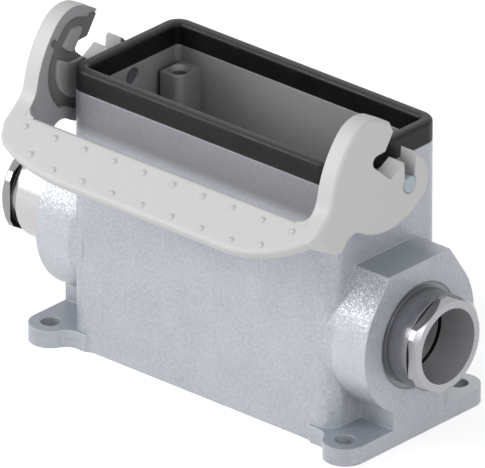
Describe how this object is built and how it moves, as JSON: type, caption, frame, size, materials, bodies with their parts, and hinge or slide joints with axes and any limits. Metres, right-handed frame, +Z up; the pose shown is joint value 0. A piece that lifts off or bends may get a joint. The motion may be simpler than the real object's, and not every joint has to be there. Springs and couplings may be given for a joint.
{
  "type": "heavy duty rectangular connector",
  "caption": "Surface-mounting metal housing of a heavy duty rectangular connector, with an open top and black gasket, a hinged grey locking lever and a cable gland at each end.",
  "frame": {"origin": "middle of the four mounting holes, on the flat underside", "axes": "+X along the housing and the cable's way, towards the short gland; +Y from the lever's handle towards the back; +Z up from the mounting surface"},
  "size_m": [0.1476, 0.0744, 0.0963],
  "materials": {
    "housing_casting": "silver-grey coat over a fine cast grain",
    "gasket_rubber": "smooth black",
    "lever_plastic": "fine moulded texture, light grey",
    "pin_steel": "turned",
    "gland_metal": "bright nickel plate",
    "seal_rubber": "smooth black"
  },
  "bodies": {
    "housing": {"housing": "housing_casting", "gasket": "gasket_rubber", "left_pivot_pin": "pin_steel", "right_pivot_pin": "pin_steel", "right_gland_body": "gland_metal", "right_seal_ring": "seal_rubber", "right_gland_nut": "gland_metal", "left_gland_body": "gland_metal", "left_seal_ring": "seal_rubber", "left_gland_nut": "gland_metal"},
    "lever": {"lever": "lever_plastic"}
  },
  "joints": [
    {"name": "lever_pivot", "type": "hinge", "parent": "housing", "child": "lever", "pos_m": [0, 0, 0.0723], "axis": [1, 0, 0], "range_deg": [-52, 35]}
  ]
}
